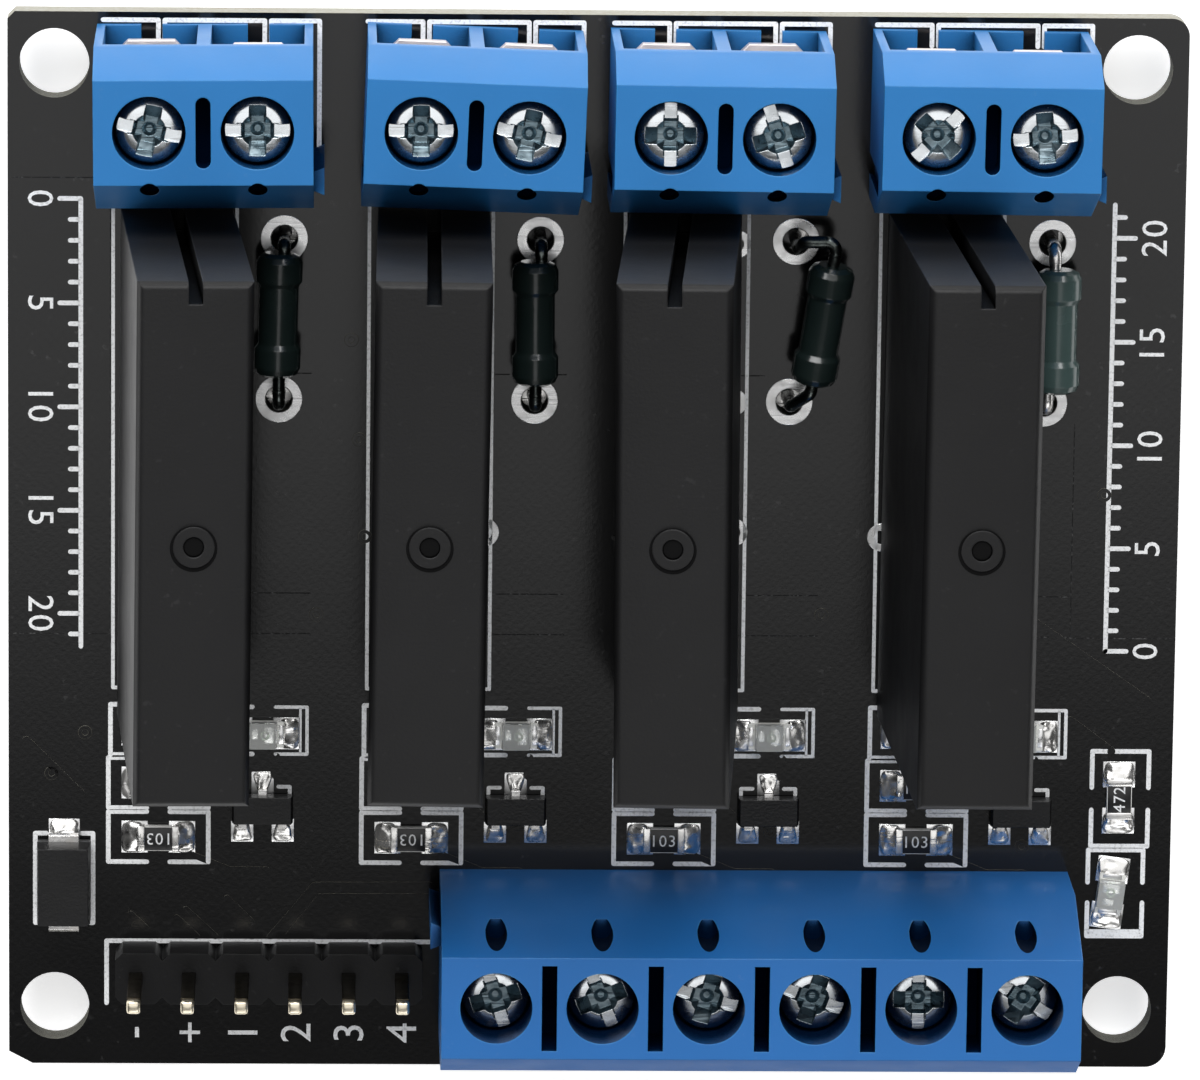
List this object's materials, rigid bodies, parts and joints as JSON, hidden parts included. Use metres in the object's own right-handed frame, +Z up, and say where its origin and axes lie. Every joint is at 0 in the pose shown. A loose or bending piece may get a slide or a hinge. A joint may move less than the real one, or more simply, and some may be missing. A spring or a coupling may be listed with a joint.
{
  "type": "relay module board",
  "caption": "Black circuit board with upright solid state relays in a row, blue screw terminal blocks along two edges, a pin header, fuses and indicator lights.",
  "frame": {"origin": "centre of the board in plan, at the level of the lead tips under the board, where it stands", "axes": "+Z up out of the component side; +Y towards the edge with the output terminal blocks; +X to the right when that edge is at the top"},
  "size_m": [0.0558, 0.051, 0.0238],
  "materials": {
    "laminate": "glass-fibre laminate under glossy black solder mask",
    "relay_case": "fine-grained moulded black case",
    "terminal_blue": "satin blue moulded nylon",
    "screw_steel": "zinc-plated steel",
    "clamp_nickel": "nickel-plated brass",
    "tinned_metal": "tinned copper alloy",
    "black_nylon": "moulded black nylon",
    "gilt_pin": "gold flash over brass",
    "fuse_green": "dark green lacquer",
    "fuse_teal": "light green lacquer",
    "fuse_wire": "tinned wire",
    "lamp_base": "white moulded base",
    "lamp_lens": "milky clear resin",
    "chip_resistor": "black glazed ceramic chip",
    "small_case": "moulded black epoxy",
    "solder": "bright solder"
  },
  "bodies": {
    "board": {"circuit_board": "laminate", "relay_case_1": "relay_case", "relay_case_2": "relay_case", "relay_case_3": "relay_case", "relay_case_4": "relay_case", "relay_leads": "tinned_metal", "output_housing_1": "terminal_blue", "output_housing_2": "terminal_blue", "output_housing_3": "terminal_blue", "output_housing_4": "terminal_blue", "input_housing": "terminal_blue", "output_contacts": "tinned_metal", "input_contacts": "tinned_metal", "header_insulator": "black_nylon", "header_pins": "gilt_pin", "fuse_body_1": "fuse_green", "fuse_body_2": "fuse_green", "fuse_body_3": "fuse_green", "fuse_body_4": "fuse_teal", "fuse_leads": "fuse_wire", "indicator_bases": "lamp_base", "indicator_lenses": "lamp_lens", "indicator_resistors": "chip_resistor", "gate_resistors": "chip_resistor", "input_resistors": "chip_resistor", "power_resistor": "chip_resistor", "transistor_bodies": "small_case", "transistor_leads": "tinned_metal", "diode_body": "small_case", "diode_leads": "tinned_metal", "surface_solder": "solder", "lead_solder": "solder"},
    "output_screw_1a": {"output_screw_1a": "screw_steel"},
    "output_clamp_1a": {"output_clamp_1a": "clamp_nickel"},
    "output_screw_1b": {"output_screw_1b": "screw_steel"},
    "output_clamp_1b": {"output_clamp_1b": "clamp_nickel"},
    "output_screw_2a": {"output_screw_2a": "screw_steel"},
    "output_clamp_2a": {"output_clamp_2a": "clamp_nickel"},
    "output_screw_2b": {"output_screw_2b": "screw_steel"},
    "output_clamp_2b": {"output_clamp_2b": "clamp_nickel"},
    "output_screw_3a": {"output_screw_3a": "screw_steel"},
    "output_clamp_3a": {"output_clamp_3a": "clamp_nickel"},
    "output_screw_3b": {"output_screw_3b": "screw_steel"},
    "output_clamp_3b": {"output_clamp_3b": "clamp_nickel"},
    "output_screw_4a": {"output_screw_4a": "screw_steel"},
    "output_clamp_4a": {"output_clamp_4a": "clamp_nickel"},
    "output_screw_4b": {"output_screw_4b": "screw_steel"},
    "output_clamp_4b": {"output_clamp_4b": "clamp_nickel"},
    "input_screw_1": {"input_screw_1": "screw_steel"},
    "input_clamp_1": {"input_clamp_1": "clamp_nickel"},
    "input_screw_2": {"input_screw_2": "screw_steel"},
    "input_clamp_2": {"input_clamp_2": "clamp_nickel"},
    "input_screw_3": {"input_screw_3": "screw_steel"},
    "input_clamp_3": {"input_clamp_3": "clamp_nickel"},
    "input_screw_4": {"input_screw_4": "screw_steel"},
    "input_clamp_4": {"input_clamp_4": "clamp_nickel"},
    "input_screw_5": {"input_screw_5": "screw_steel"},
    "input_clamp_5": {"input_clamp_5": "clamp_nickel"},
    "input_screw_6": {"input_screw_6": "screw_steel"},
    "input_clamp_6": {"input_clamp_6": "clamp_nickel"}
  },
  "joints": [
    {"name": "output_turn_1a", "type": "hinge", "parent": "board", "child": "output_screw_1a", "pos_m": [-0.02102, 0.0213, 0.01282], "axis": [0, 0, 1], "range_deg": [-1000.4, 923.44]},
    {"name": "output_rise_1a", "type": "slide", "parent": "board", "child": "output_clamp_1a", "axis": [0, 0, 1], "range_m": [-0.00115, 0.00125]},
    {"name": "output_turn_1b", "type": "hinge", "parent": "board", "child": "output_screw_1b", "pos_m": [-0.01602, 0.02134, 0.01282], "axis": [0, 0, 1], "range_deg": [0, 1923.84]},
    {"name": "output_rise_1b", "type": "slide", "parent": "board", "child": "output_clamp_1b", "axis": [0, 0, 1], "range_m": [-0.0024, 0]},
    {"name": "output_turn_2a", "type": "hinge", "parent": "board", "child": "output_screw_2a", "pos_m": [-0.00847, 0.02137, 0.01282], "axis": [0, 0, 1], "range_deg": [-1000.4, 923.44]},
    {"name": "output_rise_2a", "type": "slide", "parent": "board", "child": "output_clamp_2a", "axis": [0, 0, 1], "range_m": [-0.00115, 0.00125]},
    {"name": "output_turn_2b", "type": "hinge", "parent": "board", "child": "output_screw_2b", "pos_m": [-0.00347, 0.02119, 0.01282], "axis": [0, 0, 1], "range_deg": [-1000.4, 923.44]},
    {"name": "output_rise_2b", "type": "slide", "parent": "board", "child": "output_clamp_2b", "axis": [0, 0, 1], "range_m": [-0.00115, 0.00125]},
    {"name": "output_turn_3a", "type": "hinge", "parent": "board", "child": "output_screw_3a", "pos_m": [0.00306, 0.02123, 0.01282], "axis": [0, 0, 1], "range_deg": [-1250.5, 673.34]},
    {"name": "output_rise_3a", "type": "slide", "parent": "board", "child": "output_clamp_3a", "axis": [0, 0, 1], "range_m": [-0.00084, 0.00156]},
    {"name": "output_turn_3b", "type": "hinge", "parent": "board", "child": "output_screw_3b", "pos_m": [0.00806, 0.02117, 0.01282], "axis": [0, 0, 1], "range_deg": [-1635.26, 288.58]},
    {"name": "output_rise_3b", "type": "slide", "parent": "board", "child": "output_clamp_3b", "axis": [0, 0, 1], "range_m": [-0.00036, 0.00204]},
    {"name": "output_turn_4a", "type": "hinge", "parent": "board", "child": "output_screw_4a", "pos_m": [0.01543, 0.02126, 0.01282], "axis": [0, 0, 1], "range_deg": [0, 1923.84]},
    {"name": "output_rise_4a", "type": "slide", "parent": "board", "child": "output_clamp_4a", "axis": [0, 0, 1], "range_m": [-0.0024, 0]},
    {"name": "output_turn_4b", "type": "hinge", "parent": "board", "child": "output_screw_4b", "pos_m": [0.02043, 0.02122, 0.01282], "axis": [0, 0, 1], "range_deg": [0, 1923.84]},
    {"name": "output_rise_4b", "type": "slide", "parent": "board", "child": "output_clamp_4b", "axis": [0, 0, 1], "range_m": [-0.0024, 0]},
    {"name": "input_turn_1", "type": "hinge", "parent": "board", "child": "input_screw_1", "pos_m": [0.02035, -0.02018, 0.01152], "axis": [0, 0, 1], "range_deg": [0, 1402.8]},
    {"name": "input_rise_1", "type": "slide", "parent": "board", "child": "input_clamp_1", "axis": [0, 0, 1], "range_m": [-0.00175, 0]},
    {"name": "input_turn_2", "type": "hinge", "parent": "board", "child": "input_screw_2", "pos_m": [0.01535, -0.02018, 0.01152], "axis": [0, 0, 1], "range_deg": [0, 1402.8]},
    {"name": "input_rise_2", "type": "slide", "parent": "board", "child": "input_clamp_2", "axis": [0, 0, 1], "range_m": [-0.00175, 0]},
    {"name": "input_turn_3", "type": "hinge", "parent": "board", "child": "input_screw_3", "pos_m": [0.01035, -0.02018, 0.01152], "axis": [0, 0, 1], "range_deg": [0, 1402.8]},
    {"name": "input_rise_3", "type": "slide", "parent": "board", "child": "input_clamp_3", "axis": [0, 0, 1], "range_m": [-0.00175, 0]},
    {"name": "input_turn_4", "type": "hinge", "parent": "board", "child": "input_screw_4", "pos_m": [0.00535, -0.02018, 0.01152], "axis": [0, 0, 1], "range_deg": [0, 1402.8]},
    {"name": "input_rise_4", "type": "slide", "parent": "board", "child": "input_clamp_4", "axis": [0, 0, 1], "range_m": [-0.00175, 0]},
    {"name": "input_turn_5", "type": "hinge", "parent": "board", "child": "input_screw_5", "pos_m": [0.00035, -0.02018, 0.01152], "axis": [0, 0, 1], "range_deg": [0, 1402.8]},
    {"name": "input_rise_5", "type": "slide", "parent": "board", "child": "input_clamp_5", "axis": [0, 0, 1], "range_m": [-0.00175, 0]},
    {"name": "input_turn_6", "type": "hinge", "parent": "board", "child": "input_screw_6", "pos_m": [-0.00465, -0.02018, 0.01152], "axis": [0, 0, 1], "range_deg": [0, 1402.8]},
    {"name": "input_rise_6", "type": "slide", "parent": "board", "child": "input_clamp_6", "axis": [0, 0, 1], "range_m": [-0.00175, 0]}
  ],
  "couplings": [
    {"joint": "output_turn_1a", "follows": "output_rise_1a", "rad_per_m": -13963},
    {"joint": "output_turn_1b", "follows": "output_rise_1b", "rad_per_m": -13963},
    {"joint": "output_turn_2a", "follows": "output_rise_2a", "rad_per_m": -13963},
    {"joint": "output_turn_2b", "follows": "output_rise_2b", "rad_per_m": -13963},
    {"joint": "output_turn_3a", "follows": "output_rise_3a", "rad_per_m": -13963},
    {"joint": "output_turn_3b", "follows": "output_rise_3b", "rad_per_m": -13963},
    {"joint": "output_turn_4a", "follows": "output_rise_4a", "rad_per_m": -13963},
    {"joint": "output_turn_4b", "follows": "output_rise_4b", "rad_per_m": -13963},
    {"joint": "input_turn_1", "follows": "input_rise_1", "rad_per_m": -13963},
    {"joint": "input_turn_2", "follows": "input_rise_2", "rad_per_m": -13963},
    {"joint": "input_turn_3", "follows": "input_rise_3", "rad_per_m": -13963},
    {"joint": "input_turn_4", "follows": "input_rise_4", "rad_per_m": -13963},
    {"joint": "input_turn_5", "follows": "input_rise_5", "rad_per_m": -13963},
    {"joint": "input_turn_6", "follows": "input_rise_6", "rad_per_m": -13963}
  ]
}
